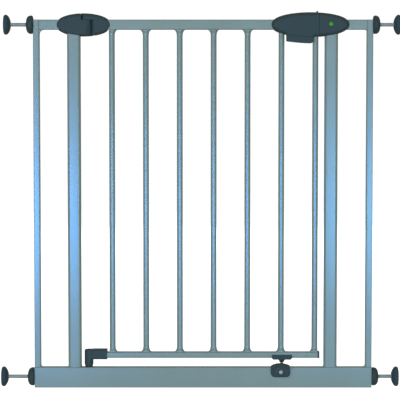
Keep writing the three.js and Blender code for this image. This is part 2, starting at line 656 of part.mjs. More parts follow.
// Ribs and bosses of the rear shell: lever boss, bolt guides, thumb slide rail and its spring stop.
function latchRearDetails() {
  return join(
    rod(3.6, "y", [LEVER.x, LEVER.z], 8.6, BACK_WALL, 14),
    box([214.5, 231.5], [-4, BACK_WALL], [BOLT.low - 2.4, BOLT.low - 0.4]),
    box([214.5, 231.5], [-4, BACK_WALL], [BOLT.high + 0.4, BOLT.high + 2.4]),
    box([216, 231.5], [4, BACK_WALL], [753.6, 755.6]),
    box([197.8, 200], [-3, BACK_WALL], [755, 760.4]),
  );
}

const leverBore = rod(2.1, "y", [LEVER.x, LEVER.z], -13.5, 13.5, 14);
const latch = shells(latchBody(), LATCH_OVAL, LATCH_SCREW);
place("latch_front_shell", cut(join(latch.front, latchFrontDetails()), leverBore), slatePlastic);
place("latch_rear_shell", cut(join(latch.rear, latchRearDetails()), leverBore), slatePlastic);
place("latch_screw", screw(LATCH_SCREW, LATCH_OVAL), zinc);

// ---------------------------------------------------------------- latch: moving parts
// The squeeze grip. Its lower edge falls in a shallow arc, and its top stays inside the housing.
function latchHandle() {
  const grip = new THREE.Shape();
  grip.moveTo(HANDLE.left, HANDLE.top);
  grip.lineTo(HANDLE.left, HANDLE.lowLeft + 1.5);
  grip.lineTo(HANDLE.left + 1.5, HANDLE.lowLeft);
  grip.quadraticCurveTo(200, HANDLE.lowRight, HANDLE.right - 1.5, HANDLE.lowRight);
  grip.lineTo(HANDLE.right, HANDLE.lowRight + 1.5);
  grip.lineTo(HANDLE.right, HANDLE.top);
  const body = extrude(grip, "y", -HANDLE.halfDepth, HANDLE.halfDepth, 8);
  const pusher = box([210.2, 214], [LEVER.front - 0.5, LEVER.back + 0.5], [HANDLE.top - 1, 728.5]);
  return join(body, pusher);
}

// A bell crank: the handle lifts its low arm and the pin on its tall arm draws the bolt back.
function releaseLever() {
  const lift = (-LEVER.drop * Math.PI) / 180;
  const draw = ((90 - LEVER.drop) * Math.PI) / 180;
  const liftTip = [LEVER.x + LEVER.arm * Math.cos(lift), LEVER.z + LEVER.arm * Math.sin(lift), 2.4];
  const drawTip = [LEVER.x + LEVER.reach * Math.cos(draw), LEVER.z + LEVER.reach * Math.sin(draw), 2.6];
  const hub = [LEVER.x, LEVER.z, 4];
  const arms = join(link(hub, liftTip, LEVER.front, LEVER.back), link(hub, drawTip, LEVER.front, LEVER.back));
  const drivePin = rod(1.9, "y", [drawTip[0], drawTip[1]], -BOLT.halfDepth - 0.4, LEVER.front + 1, 14);
  return cut(join(arms, drivePin), rod(2.1, "y", [LEVER.x, LEVER.z], LEVER.front - 1, LEVER.back + 1, 14));
}

function latchBolt() {
  const draw = ((90 - LEVER.drop) * Math.PI) / 180;
  const pinX = LEVER.x + LEVER.reach * Math.cos(draw);
  const depth = [-BOLT.halfDepth, BOLT.halfDepth];
  const bar = extrude(roundedRect(depth, [BOLT.low, BOLT.high], 0.8), "x", BOLT.left, BOLT.right, 2);
  const lug = box([pinX - 5.8, pinX + 5.8], depth, [BOLT.high - 2, BOLT.high + 7]);
  const notch = box([pinX - 2.3, pinX + 2.3], [-10, 10], [BOLT.high + 0.3, BOLT.high + 10]);
  return cut(join(bar, lug), notch);
}

// The thumb slide: a plate under the housing's roof with a narrow fin through the slot.
function thumbSlide() {
  const fin = new THREE.Shape();
  fin.moveTo(FIN.left, SLIDE.high - 1);
  fin.lineTo(FIN.right, SLIDE.high - 1);
  fin.lineTo(FIN.right, FIN.top - 4.5);
  fin.lineTo(FIN.right - 1.4, FIN.top - 0.4);
  fin.lineTo(FIN.right - 2.1, FIN.top);
  fin.lineTo(FIN.right - 2.8, FIN.top - 0.4);
  fin.lineTo(FIN.left, FIN.top - 4.5);
  return join(
    box([SLIDE.left, SLIDE.right], [-6, 6], [SLIDE.low, SLIDE.high]),
    extrude(fin, "y", -5, 5),
    box([228, 231.2], [-3, 3], [750.6, SLIDE.low + 1]),
  );
}

place("latch_handle", latchHandle(), slatePlastic);
place("release_lever", releaseLever(), steel);
place("lever_pin", rod(1.8, "y", [LEVER.x, LEVER.z], -13, 13, 14), zinc);
place("latch_bolt", latchBolt(), steel);
place("thumb_slide", thumbSlide(), slatePlastic);
place(
  "bolt_spring",
  coil("x", [BOLT_SPRING[0], 0, 742.5], BOLT_SPRING[1] - BOLT_SPRING[0], 3.1, 0.45, 5),
  springSteel,
);
place(
  "handle_spring",
  coil("z", [...HANDLE_SPRING_AT, HANDLE.top + 0.3], HANDLE_SPRING_TOP - HANDLE.top - 0.3, 2.9, 0.45, 6),
  springSteel,
);
place(
  "thumb_slide_spring",
  coil("x", [SLIDE_SPRING[0], 0, 757.6], SLIDE_SPRING[1] - SLIDE_SPRING[0], 1.9, 0.35, 5),
  springSteel,
);

// ---------------------------------------------------------------- latch: strike on the post
function strikeBody() {
  const postSide = box([STRIKE_SEAM_X, 400], [-FAR, FAR], [HOUSING_LOW, HOUSING_HIGH]);
  const insidePostSide = box([STRIKE_SEAM_X + LATCH_OVAL.wall, 400], [-FAR, FAR], [HOUSING_LOW, HOUSING_HIGH]);
  const outside = pillow(LATCH_OVAL).intersect(postSide);
  const inside = pillow(LATCH_OVAL, LATCH_OVAL.wall).intersect(insidePostSide);
  const postSpace = box(
    [RIGHT_POST[0] - RUNNING_GAP, RIGHT_POST[1] + RUNNING_GAP],
    [-RAIL_CLEAR, RAIL_CLEAR],
    [HOUSING_LOW, RAIL_SPACE[1]],
  );
  const railSpace = box([RIGHT_POST[0], 310], [-RAIL_CLEAR, RAIL_CLEAR], RAIL_SPACE);
  const mouth = box([STRIKE_SEAM_X - 1, 244.1], [-3.6, FAR / 8], [BOLT.low - 1, BOLT.high + 1]);
  const fingerWay = box([STRIKE_SEAM_X - 1, 244.1], [-14, 0], [739.8, 745.2]);
  const window = rod(INDICATOR.radius, "y", [INDICATOR.x, INDICATOR.z], -FAR / 8, -LATCH_OVAL.depth + 4, 24);
  return cut(outside, inside, postSpace, railSpace, mouth, fingerWay, window);
}

// The steel keeper on the post: its two lips stop the bolt from moving forwards.
function strikePlate() {
  const low = 732;
  const high = 752;
  const web = box([244.4, RIGHT_POST[0]], [-6, 9], [low, high]);
  const lip = (span) => box([238, 245], [-6, -3.6], span);
  return join(web, lip([low, 739.8]), lip([745.2, high]));
}

// The indicator: a flag behind the window, moved by a finger that rests on the end of the bolt.
function indicatorFlag() {
  const flag = extrude(roundedRect([250, 272], [734.7, 746.7], 1), "y", -13.2, -11.7, 2);
  const arm = box([BOLT.right + 0.3, 252], [-13.2, -11.7], [740.4, 744.6]);
  const finger = box([BOLT.right + 0.3, BOLT.right + 1.9], [-13.2, 0], [740.4, 744.6]);
  return join(flag, arm, finger);
}

// A clear lens, slightly domed, held by a thin flange behind the shell.
function indicatorLens() {
  const radius = INDICATOR.radius - 0.2;
  const face = LATCH_OVAL.depth;
  const profile = [
    [0, -face - 0.7],
    [radius * 0.6, -face - 0.5],
    [radius, -face + 0.1],
    [radius, -face + 2.4],
    [radius + 1, -face + 2.4],
    [radius + 1, -face + 3.2],
    [0, -face + 3.2],
  ];
  return turned(profile, "y", [INDICATOR.x, 0, INDICATOR.z], 20);
}

const strike = shells(strikeBody(), LATCH_OVAL, STRIKE_SCREW);
place("strike_front_shell", strike.front, slatePlastic);
place("strike_rear_shell", strike.rear, slatePlastic);
place("strike_screw", screw(STRIKE_SCREW, LATCH_OVAL), zinc);
place("strike_plate", strikePlate(), steel);
place("indicator_flag", indicatorFlag(), greenSignal);
place("indicator_lens", indicatorLens(), clearGreen);

// ---------------------------------------------------------------- bottom swing stop
// A saddle round the door's bottom rail, with a conical neck that holds the pin.
function stopSaddle() {
  const saddle = new THREE.Shape();
  const [left, right, low, high] = [140.6, 181.7, 58, 68];
  saddle.moveTo(left + 2.5, low);
  saddle.lineTo(right - 2.5, low);
  saddle.lineTo(right, low + 3);
  saddle.lineTo(right, high);
  saddle.lineTo(left, high);
  saddle.lineTo(left, low + 3);
  const body = extrude(saddle, "y", -12, 12);
  const neck = [[0, 52], [3.9, 52], [7.5, 58.2], [7.5, 59], [0, 59]];
  const cone = turned(neck, "z", [STOP_PIN_X, STOP_PIN_Y, 0], 24);
  const railSpace = box(
    [left - 1, right + 1], [-RAIL_CLEAR, RAIL_CLEAR], [DOOR_RAIL_BOTTOM - RUNNING_GAP, high + 1],
  );
  const pinHole = rod(3.1, "z", [STOP_PIN_X, STOP_PIN_Y], 50, 58.6, 16);
  return cut(join(body, cone), railSpace, pinHole);
}

function stopPin() {
  return turned(
    [[0, 44.2], [2.2, 44.2], [2.9, 45.4], [2.9, 58.4], [0, 58.4]], "z", [STOP_PIN_X, STOP_PIN_Y, 0], 16,
  );
}

// The stop block's outline: round lower corners, small upper corners and an arched top.
function stopOutline([left, right], [low, high], corner) {
  const shoulder = high - 4.6;
  const shape = new THREE.Shape();
  shape.moveTo(left + corner, low);
  shape.lineTo(right - corner, low);
  shape.absarc(right - corner, low + corner, corner, -Math.PI / 2, 0, false);
  shape.lineTo(right, shoulder - 1);
  shape.lineTo(right - 1.4, shoulder + 0.6);
  shape.quadraticCurveTo((left + right) / 2, 2 * high - shoulder - 0.6, left + 1.4, shoulder + 0.6);
  shape.lineTo(left, shoulder - 1);
  shape.lineTo(left, low + corner);
  shape.absarc(left + corner, low + corner, corner, Math.PI, 1.5 * Math.PI, false);
  return shape;
}

// The stop block on the front of the floor rail. It turns on its rivet, which is below its middle.
function swingStop() {
  const { left, right, low, high, front, back, corner } = STOP_SIZE;
  const edge = 3;
  const outline = stopOutline([left + edge, right - edge], [low + edge, high - edge], corner - edge);
  const geometry = new THREE.ExtrudeGeometry(outline, {
    depth: back - front - edge,
    bevelThickness: edge,
    bevelSize: edge,
    bevelSegments: 2,
    curveSegments: 4,
  });
  geometry.applyMatrix4(ALONG.y);
  geometry.translate(0, back, 0);
  const pad = solid(geometry).intersect(box([left - 1, right + 1], [front - 1, back], [low - 1, high + 1]));
  const bore = rod(2.4, "y", STOP_AXIS, front - 5, back + 5, 16);
  const seat = rod(4.6, "y", STOP_AXIS, front - 5, front + 1.8, 20);
  return cut(pad, bore, seat);
}

// The rivet: a domed head, a shank through the block and a foot welded on the floor rail.
function swingStopRivet() {
  const { front } = STOP_SIZE;
  const head = front + 1.5;
  return turned(
    [[0, head - 2], [2.4, head - 1.7], [4.2, head - 0.4], [4.2, head], [2.1, head], [2.1, -10], [0, -10]],
    "y", [STOP_AXIS[0], 0, STOP_AXIS[1]], 16,
  );
}

place("stop_saddle", stopSaddle(), slatePlastic);
place("stop_pin", stopPin(), zinc);
place("swing_stop", swingStop(), slatePlastic);
place("swing_stop_rivet", swingStopRivet(), zinc);

// ---------------------------------------------------------------- wall spindles
// Heights in these profiles are distances from the frame's side, outwards.
function handNut() {
  const gap = 0.3;
  return [
    [ROD_RADIUS + 0.3, gap], [16.8, gap], [NUT_RADIUS, gap + 1.6], [NUT_RADIUS, gap + 6],
    [NUT_RADIUS - 3.4, gap + 11.6], [NUT_RADIUS - 9, gap + NUT_THICK],
    [ROD_RADIUS + 0.3, gap + NUT_THICK], [ROD_RADIUS + 0.3, gap],
  ];
}

function threadedRod(reach) {
  return [[0, -38], [ROD_RADIUS - 0.8, -38], [ROD_RADIUS, -37], [ROD_RADIUS, reach - 6], [0, reach - 6]];
}

function wallPad(reach) {
  const back = reach - PAD_THICK;
  return [
    [ROD_RADIUS + 0.2, back], [8.5, back], [14, back + 2.6], [PAD_RADIUS - 1.4, back + 6],
    [PAD_RADIUS, back + 8.6], [PAD_RADIUS, reach - 3], [PAD_RADIUS - 2.4, reach],
    [0, reach], [0, reach - 5.8], [ROD_RADIUS + 0.2, reach - 5.8],
    [ROD_RADIUS + 0.2, back],
  ];
}

const SPINDLES = [
  { name: "top_left", side: -1, z: TOP_SPINDLE_Z, reach: 59.5 },
  { name: "bottom_left", side: -1, z: BOTTOM_SPINDLE_Z, reach: 68 },
  { name: "top_right", side: 1, z: TOP_SPINDLE_Z, reach: 55.5 },
  { name: "bottom_right", side: 1, z: BOTTOM_SPINDLE_Z, reach: 55 },
];

// A spindle's profile turned about X and set against its side of the frame.
function onSide(profile, { side, z }, segments) {
  const along = profile.map(([radius, out]) => [radius, side * (FRAME_HALF_WIDTH + out)]);
  return turned(side > 0 ? along : along.reverse(), "x", [0, 0, z], segments);
}

for (const spindle of SPINDLES) {
  place(`spindle_rod_${spindle.name}`, onSide(threadedRod(spindle.reach), spindle, 12), zinc);
  place(`hand_nut_${spindle.name}`, onSide(handNut(), spindle, 20), slatePlastic);
  place(`wall_pad_${spindle.name}`, onSide(wallPad(spindle.reach), spindle, 20), darkRubber);
}

export default gate;
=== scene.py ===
"""Looks for the stair gate: finer pieces, procedural materials, studio lights and the camera.

Piece sizes are in millimetres until place_mesh() turns them into metres.
"""

import math

import bmesh
import bpy
from mathutils import Matrix, Vector


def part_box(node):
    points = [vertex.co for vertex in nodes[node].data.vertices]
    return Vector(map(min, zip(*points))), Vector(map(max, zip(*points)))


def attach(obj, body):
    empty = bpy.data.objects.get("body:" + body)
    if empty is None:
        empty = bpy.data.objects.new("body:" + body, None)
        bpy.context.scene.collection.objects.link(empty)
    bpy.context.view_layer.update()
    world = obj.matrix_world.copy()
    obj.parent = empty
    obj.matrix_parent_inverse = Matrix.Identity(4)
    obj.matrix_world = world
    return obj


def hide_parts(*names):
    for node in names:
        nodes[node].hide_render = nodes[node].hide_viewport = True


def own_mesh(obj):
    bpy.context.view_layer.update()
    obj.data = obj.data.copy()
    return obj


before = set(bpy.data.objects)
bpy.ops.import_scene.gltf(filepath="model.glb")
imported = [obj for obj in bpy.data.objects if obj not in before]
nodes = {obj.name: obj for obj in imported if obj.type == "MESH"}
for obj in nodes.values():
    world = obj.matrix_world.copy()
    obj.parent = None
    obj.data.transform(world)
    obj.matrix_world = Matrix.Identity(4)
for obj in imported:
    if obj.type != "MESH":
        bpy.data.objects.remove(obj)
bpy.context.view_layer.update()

MM = 0.001
SHARP_ANGLE = math.radians(38)
SIDES = ("top_left", "bottom_left", "top_right", "bottom_right")

# Camera, in metres and degrees.
CAMERA_TARGET = Vector((-0.0063, 0.0, 0.3841))
CAMERA_DISTANCE = 3.2
CAMERA_ELEVATION = 3.0
CAMERA_LENS = 141.2

# Pieces, in millimetres.
PAD_HUB_RADIUS = 4.2
PAD_DISH_DEPTH = 0.8
THREAD_PITCH = 1.25
THREAD_DEPTH = 0.6
NUT_BORE_RADIUS = 4.15
NUT_FLUTES = 28
NUT_FLUTE_DEPTH = 0.35
SCREW_HEAD_RADIUS = 2.95
SCREW_HEAD_HEIGHT = 1.8
SCREW_RIM_HEIGHT = 0.5
SCREW_SHANK_RADIUS = 1.5
CROSS_HALF_WIDTH = 0.42
CROSS_HALF_LENGTH = 1.75
CROSS_DEPTH = 1.0
LENS_FLANGE_WIDTH = 1.0
LENS_FLANGE_DEPTH = 0.8
LENS_DOME_HEIGHT = 0.8
# The lens colour has painted shade that darkens it from the first of these radii to the second.
LENS_SHADE_START = 3.6
LENS_SHADE_END = 5.2
STOP_EDGE_RADIUS = 2.8
STOP_BACK_CHAMFER = 0.8
STOP_CORNER_RADIUS = 8.0
STOP_SHOULDER_DROP = 4.6

# Textures. Each span is the part of a noise or cosine that is stretched over the full effect.
MOTTLE_SPAN = (0.3, 0.7)
SCUFF_SPAN = (0.42, 0.62)
GRAIN_SPAN = (0.35, 0.65)
EDGE_SPAN = (0.995, 0.9)
FLECK_SHARE = 0.10
SCUFFS_PER_MOTTLE = 22
BEVEL_SAMPLES = 4
BUMP_STRENGTH = 0.6

# Studio, in metres and watts.
BACKDROP_RADIUS = 14.0
FLOOR_HALF = 6.0
FLOOR_DROP = 0.0002
STUDIO_MIDDLE = (0.0, 0.0, 0.4)
# Each light is a name, a place, a width, a height, a power and a colour.
SOFT_LIGHTS = (
    ("front_fill", (0.0, -5.5, 0.6), 4.0, 2.6, 150.0, (1.0, 0.98, 0.95)),
    ("left_key", (-3.0, -4.2, 1.6), 1.6, 2.0, 45.0, (1.0, 0.99, 0.96)),
    ("rear_fill", (0.0, 4.5, 1.6), 4.0, 2.0, 90.0, (1.0, 1.0, 1.0)),
)
SKY_STRIPS = (
    ("sky_strip_left", (-1.6, -4.2, 0.10), 2.2, 0.55, 50.0, (0.08, 0.36, 1.0)),
    ("sky_strip_right", (1.6, -4.2, 0.10), 2.2, 0.55, 40.0, (0.09, 0.38, 0.88)),
)


# ---------------------------------------------------------------- mesh helpers
def box_mm(name):
    """A CAD node's lowest and highest corners in millimetres."""
    low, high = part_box(name)
    return low / MM, high / MM


def centre_mm(name):
    low, high = box_mm(name)
    return (low + high) / 2


def along(direction, at):
    """A matrix that lays local Z along a direction, with its origin at a point."""
    turn = Vector(direction).to_track_quat("Z", "Y").to_matrix().to_4x4()
    return Matrix.Translation(Vector(at)) @ turn


def circle(radius, height, segments):
    ring = []
    for i in range(segments):
        angle = 2 * math.pi * i / segments
        ring.append((radius * math.cos(angle), radius * math.sin(angle), height))
    return ring


def face_outwards(mesh):
    shape = bmesh.new()
    shape.from_mesh(mesh)
    bmesh.ops.recalc_face_normals(shape, faces=shape.faces)
    shape.to_mesh(mesh)
    shape.free()


def place_mesh(name, verts, faces, body, slot, replaced, matrix=None):
    """Makes one smooth piece that stands for CAD nodes and rides on a body."""
    matrix = matrix or Matrix.Identity(4)
    mesh = bpy.data.meshes.new(name)
    mesh.from_pydata([(matrix @ Vector(point)) * MM for point in verts], [], faces)
    mesh.validate()
    face_outwards(mesh)
    mesh.shade_smooth()
    mesh.set_sharp_from_angle(angle=SHARP_ANGLE)
    mesh.materials.append(LOOKS[slot])
    piece = bpy.data.objects.new(name, mesh)
    bpy.context.scene.collection.objects.link(piece)
    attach(piece, body)
    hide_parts(*replaced)
    return piece


def skin(rings, closed=False):
    """Faces between rings of vertices. A ring of one vertex is a pole."""
    verts = []
    starts = []
    for ring in rings:
        starts.append(len(verts))
        verts.extend(ring)
    faces = []
    pairs = list(zip(range(len(rings) - 1), range(1, len(rings))))
    if closed:
        pairs.append((len(rings) - 1, 0))
    for first, second in pairs:
        a, b = starts[first], starts[second]
        size_a, size_b = len(rings[first]), len(rings[second])
        for i in range(max(size_a, size_b)):
            j = (i + 1) % max(size_a, size_b)
            if size_a == 1:
                faces.append((a, b + j, b + i))
            elif size_b == 1:
                faces.append((a + i, a + j, b))
            else:
                faces.append((a + i, a + j, b + j, b + i))
    return verts, faces


def soften(profile, radius, steps=3, closed=False):
    """Rounds the corners of a profile of [radius, height] points."""
    points = [Vector(point) for point in profile]
    count = len(points)
    soft = []
    for i, corner in enumerate(points):
        if not closed and i in (0, count - 1):
            soft.append(tuple(corner))
            continue
        before = points[i - 1] - corner
        after = points[(i + 1) % count] - corner
        start = corner + before.normalized() * min(radius, before.length * 0.45)
        end = corner + after.normalized() * min(radius, after.length * 0.45)
        for step in range(steps + 1):
            t = step / steps
            soft.append(tuple(start * (1 - t) ** 2 + corner * 2 * t * (1 - t) + end * t**2))
    return soft


def lathe(profile, segments=64, closed=False, flutes=0, flute_depth=0.0, fluted_from=math.inf):
    """Turns [radius, height] points about Z. Points beyond fluted_from get shallow grip flutes."""
    rings = []
    for radius, height in profile:
        if radius < 1e-6:
            rings.append([(0.0, 0.0, height)])
            continue
        ring = []
        for i in range(segments):
            angle = 2 * math.pi * i / segments
            reach = radius
            if radius > fluted_from:
                reach -= flute_depth * (0.5 - 0.5 * math.cos(flutes * angle))
            ring.append((reach * math.cos(angle), reach * math.sin(angle), height))
        rings.append(ring)
    return skin(rings, closed)


# ---------------------------------------------------------------- node helpers
def add(tree, kind, inputs=None, **settings):
    node = tree.nodes.new(kind)
    for key, value in settings.items():
        setattr(node, key, value)
    for key, value in (inputs or {}).items():
        node.inputs[key].default_value = value
    return node


def noise(tree, coords, scale, detail=3.0, roughness=0.5):
    values = {"Scale": scale, "Detail": detail, "Roughness": roughness}
    node = add(tree, "ShaderNodeTexNoise", values)
    tree.links.new(coords, node.inputs["Vector"])
    return node.outputs["Fac"]


def remap(tree, value, low, high, to_low, to_high):
    node = add(tree, "ShaderNodeMapRange", {1: low, 2: high, 3: to_low, 4: to_high})
    tree.links.new(value, node.inputs[0])
    return node.outputs[0]


def blend_colours(tree, factor, first, second):
    """Mixes two colours, each a plain colour or a socket."""
    node = add(tree, "ShaderNodeMix", data_type="RGBA")
    tree.links.new(factor, node.inputs[0])
    for socket, colour in ((node.inputs[6], first), (node.inputs[7], second)):
        if isinstance(colour, tuple):
            socket.default_value = (*colour, 1.0)
        else:
            tree.links.new(colour, socket)
    return node.outputs[2]


def edge_mask(tree, round_normal):
    """About 1 on the edges that the Bevel node rounds, and 0 on flat faces."""
    geometry = add(tree, "ShaderNodeNewGeometry")
    dot = add(tree, "ShaderNodeVectorMath", operation="DOT_PRODUCT")
    tree.links.new(geometry.outputs["Normal"], dot.inputs[0])
    tree.links.new(round_normal, dot.inputs[1])
    return remap(tree, dot.outputs["Value"], *EDGE_SPAN, 0.0, 1.0)


def surface(
    name,
    dark,
    light,
    worn,
    wear,
    roughness,
    grain_scale,
    grain_height,
    mottle_scale=14.0,
    stretch=(1.0, 1.0, 1.0),
    edge_radius=0.5,
    **sockets,
):
    """A mottled, grained material that is worn along its edges.

    Colours are linear. roughness is a (low, high) pair. stretch squeezes the grain along an axis.
    """
    material = bpy.data.materials.new(name)
    material.use_nodes = True
    tree = material.node_tree
    shader = tree.nodes["Principled BSDF"]
    coords = add(tree, "ShaderNodeTexCoord").outputs["Object"]
    mapping = add(tree, "ShaderNodeMapping", {"Scale": stretch})
    tree.links.new(coords, mapping.inputs["Vector"])
    grain = noise(tree, mapping.outputs["Vector"], grain_scale, detail=4.0, roughness=0.6)
    mottle = noise(tree, coords, mottle_scale, detail=5.0)
    scuffs = noise(tree, coords, mottle_scale * SCUFFS_PER_MOTTLE, detail=3.0)

    rounded = add(tree, "ShaderNodeBevel", {"Radius": edge_radius * MM}, samples=BEVEL_SAMPLES)
    edges = edge_mask(tree, rounded.outputs["Normal"])
    wear_mask = add(tree, "ShaderNodeMath", operation="MULTIPLY")
    tree.links.new(edges, wear_mask.inputs[0])
    tree.links.new(remap(tree, scuffs, *SCUFF_SPAN, 0.0, wear), wear_mask.inputs[1])

    body_colour = blend_colours(tree, remap(tree, mottle, *MOTTLE_SPAN, 0.0, 1.0), dark, light)
    speckle = remap(tree, grain, *GRAIN_SPAN, 0.0, FLECK_SHARE)
    flecked = blend_colours(tree, speckle, body_colour, worn)
    colour = blend_colours(tree, wear_mask.outputs["Value"], flecked, worn)
    tree.links.new(colour, shader.inputs["Base Color"])
    tree.links.new(remap(tree, mottle, *MOTTLE_SPAN, *roughness), shader.inputs["Roughness"])

    bump = add(tree, "ShaderNodeBump", {"Strength": BUMP_STRENGTH, "Distance": grain_height * MM})
    tree.links.new(grain, bump.inputs["Height"])
    tree.links.new(rounded.outputs["Normal"], bump.inputs["Normal"])
    tree.links.new(bump.outputs["Normal"], shader.inputs["Normal"])
    for socket, value in sockets.items():
        shader.inputs[socket.replace("_", " ")].default_value = value
    return material


# ---------------------------------------------------------------- materials
def silver_paint():
    """Satin metallic powder coat on steel tube."""
    return surface(
        "gate_silver_paint",
        dark=(0.250, 0.352, 0.342),
        light=(0.272, 0.379, 0.369),
        worn=(0.322, 0.426, 0.416),
        wear=0.2,
        roughness=(0.22, 0.24),
        grain_scale=900.0,
        grain_height=0.001,
        mottle_scale=9.0,
        Metallic=0.35,
    )


def slate_plastic():
    """Moulded plastic with a fine spark-eroded grain."""
    return surface(
        "gate_slate_plastic",
        dark=(0.025, 0.045, 0.046),
        light=(0.030, 0.052, 0.053),
        worn=(0.048, 0.074, 0.076),
        wear=0.25,
        roughness=(0.44, 0.56),
        grain_scale=1900.0,
        grain_height=0.05,
        mottle_scale=30.0,
    )


def dark_rubber():
    return surface(
        "gate_dark_rubber",
        dark=(0.025, 0.050, 0.068),
        light=(0.031, 0.060, 0.079),
        worn=(0.056, 0.086, 0.102),
        wear=0.4,
        roughness=(0.60, 0.78),
        grain_scale=1300.0,
        grain_height=0.08,
        mottle_scale=60.0,
    )


def zinc_plate():
    """Bright zinc with the faint cloudiness of a passivated coat."""
    return surface(
        "gate_zinc_plate",
        dark=(0.34, 0.43, 0.41),
        light=(0.42, 0.51, 0.49),
        worn=(0.56, 0.63, 0.61),
        wear=0.4,
        roughness=(0.46, 0.58),
        grain_scale=900.0,
        grain_height=0.004,
        mottle_scale=90.0,
        edge_radius=0.15,
        Metallic=0.30,
    )


def plain_steel():
    """Cold-rolled sheet with drawn streaks along X."""
    return surface(
        "gate_plain_steel",
        dark=(0.36, 0.37, 0.38),
        light=(0.46, 0.47, 0.47),
        worn=(0.66, 0.66, 0.65),
        wear=0.6,
        roughness=(0.28, 0.44),
        grain_scale=1600.0,
        grain_height=0.03,
        mottle_scale=70.0,
        stretch=(0.08, 1.0, 1.0),
        edge_radius=0.25,
        Metallic=1.0,
    )


def spring_steel():
    return surface(
        "gate_spring_steel",
        dark=(0.42, 0.42, 0.41),
        light=(0.52, 0.52, 0.51),
        worn=(0.70, 0.70, 0.68),
        wear=0.3,
        roughness=(0.22, 0.36),
        grain_scale=2500.0,
        grain_height=0.01,
        mottle_scale=160.0,
        edge_radius=0.05,
        Metallic=1.0,
    )


def signal_green():
    return surface(
        "gate_signal_green",
        dark=(0.040, 0.290, 0.030),
        light=(0.055, 0.340, 0.040),
        worn=(0.160, 0.480, 0.120),
        wear=0.3,
        roughness=(0.34, 0.46),
        grain_scale=1400.0,
        grain_height=0.03,
        mottle_scale=80.0,
        edge_radius=0.2,
    )


def clear_green():
    """A tinted lens: bright over the flag in the middle, with painted shade darkening it towards
    its rim.
    """
    material = surface(
        "gate_clear_green",
        dark=(0.040, 0.320, 0.012),
        light=(0.055, 0.370, 0.018),
        worn=(0.100, 0.450, 0.050),
        wear=0.1,
        roughness=(0.30, 0.38),
        grain_scale=500.0,
        grain_height=0.01,
        mottle_scale=120.0,
        edge_radius=0.2,
    )
    tree = material.node_tree
    shader = tree.nodes["Principled BSDF"]
    shader.inputs["Coat Weight"].default_value = 0.15
    shader.inputs["Specular IOR Level"].default_value = 0.2
    inner = shader.inputs["Base Color"].links[0].from_socket
    centre = centre_mm("indicator_lens") * MM
    coords = add(tree, "ShaderNodeTexCoord").outputs["Object"]
    flatten = add(tree, "ShaderNodeVectorMath", {1: (1.0, 0.0, 1.0)}, operation="MULTIPLY")
    tree.links.new(coords, flatten.inputs[0])
    distance = add(
        tree, "ShaderNodeVectorMath", {1: (centre.x, 0.0, centre.z)}, operation="DISTANCE"
    )
    tree.links.new(flatten.outputs["Vector"], distance.inputs[0])
    start, end = LENS_SHADE_START * MM, LENS_SHADE_END * MM
    # Painted shade: the lens colour darkens to a deep green towards its rim.
    rim = remap(tree, distance.outputs["Value"], start, end, 0.0, 1.0)
    colour = blend_colours(tree, rim, inner, (0.012, 0.070, 0.018))
    tree.links.new(colour, shader.inputs["Base Color"])
    return material


LOOKS = {
    "silver_paint": silver_paint(),
    "slate_plastic": slate_plastic(),
    "dark_rubber": dark_rubber(),
    "zinc_plate": zinc_plate(),
    "plain_steel": plain_steel(),
    "spring_steel": spring_steel(),
    "signal_green": signal_green(),
    "clear_green": clear_green(),
}


# ---------------------------------------------------------------- carried-over CAD nodes
def smooth_normals(mesh):
    """Shades a CAD mesh smooth across shallow angles, and keeps its large flat faces flat."""
    limit = math.cos(SHARP_ANGLE)
    keys = [tuple(round(value, 6) for value in vertex.co) for vertex in mesh.vertices]
    sides = [(polygon.normal.copy(), polygon.area) for polygon in mesh.polygons]
    touching = {}
    for polygon in mesh.polygons:
        for index in polygon.vertices:
            touching.setdefault(keys[index], []).append(polygon.index)
    normals = []
    for polygon in mesh.polygons:
        own = sides[polygon.index][0]
        for index in polygon.vertices:
            total = Vector((0.0, 0.0, 0.0))
            for other in touching[keys[index]]:
                normal, area = sides[other]
                if normal.dot(own) > limit:
                    total += normal * area
            normals.append(total.normalized() if total.length > 0 else own)
    mesh.shade_smooth()
    mesh.normals_split_custom_set(normals)


for node in nodes.values():
    for index, material in enumerate(node.data.materials):
        node.data.materials[index] = LOOKS[material.name.split(".")[0]]
    smooth_normals(node.data)


# ---------------------------------------------------------------- wall spindles
def outwards(name):
    return 1.0 if centre_mm(name).x > 0 else -1.0


def wall_pad(side):
    """A lens-shaped rubber foot with a bead round its rim and a dished wall face."""
    name = f"wall_pad_{side}"
    low, high = box_mm(name)
    radius = (high.z - low.z) / 2
    depth = high.x - low.x
    hub = PAD_HUB_RADIUS
    dish = depth - PAD_DISH_DEPTH
    profile = [
        (hub, 0.0),
        (8.2, 0.0),
        (radius * 0.70, depth * 0.18),
        (radius * 0.93, depth * 0.42),
        (radius, depth * 0.64),
        (radius, depth * 0.80),
        (radius * 0.90, depth),
        (radius * 0.80, depth),
        (radius * 0.72, dish),
        (hub + 3.0, dish),
        (hub, dish),
    ]
    sign = outwards(name)
    start = low.x if sign > 0 else high.x
    at = (start, (low.y + high.y) / 2, (low.z + high.z) / 2)
    verts, faces = lathe(soften(profile, 2.4, 5, closed=True), 72, closed=True)
    laid = along((sign, 0, 0), at)
    place_mesh(f"pad_{side}", verts, faces, f"spindle_{side}", "dark_rubber", [name], laid)


